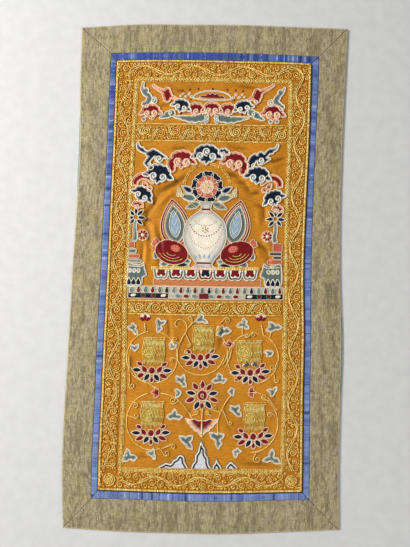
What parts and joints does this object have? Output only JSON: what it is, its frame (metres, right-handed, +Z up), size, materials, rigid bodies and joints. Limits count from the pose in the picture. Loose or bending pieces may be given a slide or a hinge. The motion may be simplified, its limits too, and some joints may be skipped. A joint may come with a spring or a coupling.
{
  "type": "embroidered silk panel",
  "caption": "Tall rectangular embroidered silk panel with a narrow ribbon frame and a wide mitred silk border, lined, lying flat.",
  "frame": {"origin": "middle of the lining's flat underside, on the surface the panel lies on", "axes": "+Y towards the panel's top edge, +X to the right seen from the face, +Z up out of the embroidered face"},
  "size_m": [0.4195, 0.7727, 0.0041],
  "materials": {
    "ochre_satin": "soft sheen satin, densely embroidered",
    "blue_ribbon": "satin sheen, puckered",
    "olive_silk": "dry slubbed weave, low sheen",
    "teal_lining": "plain matt weave",
    "gold_thread": "couched metal-wrapped thread, soft glitter",
    "burgundy_floss": "silk floss in satin stitch, soft sheen",
    "navy_floss": "silk floss in satin stitch, soft sheen",
    "cream_floss": "silk floss in satin stitch, soft sheen",
    "teal_floss": "silk floss in satin stitch, soft sheen",
    "coral_floss": "silk floss in satin stitch, soft sheen",
    "sky_floss": "silk floss in satin stitch, soft sheen"
  },
  "bodies": {
    "root": {"silk_ground": "ochre_satin", "ribbon_top": "blue_ribbon", "ribbon_bottom": "blue_ribbon", "ribbon_left": "blue_ribbon", "ribbon_right": "blue_ribbon", "border_top": "olive_silk", "border_bottom": "olive_silk", "border_left": "olive_silk", "border_right": "olive_silk", "lining": "teal_lining"}
  },
  "joints": []
}
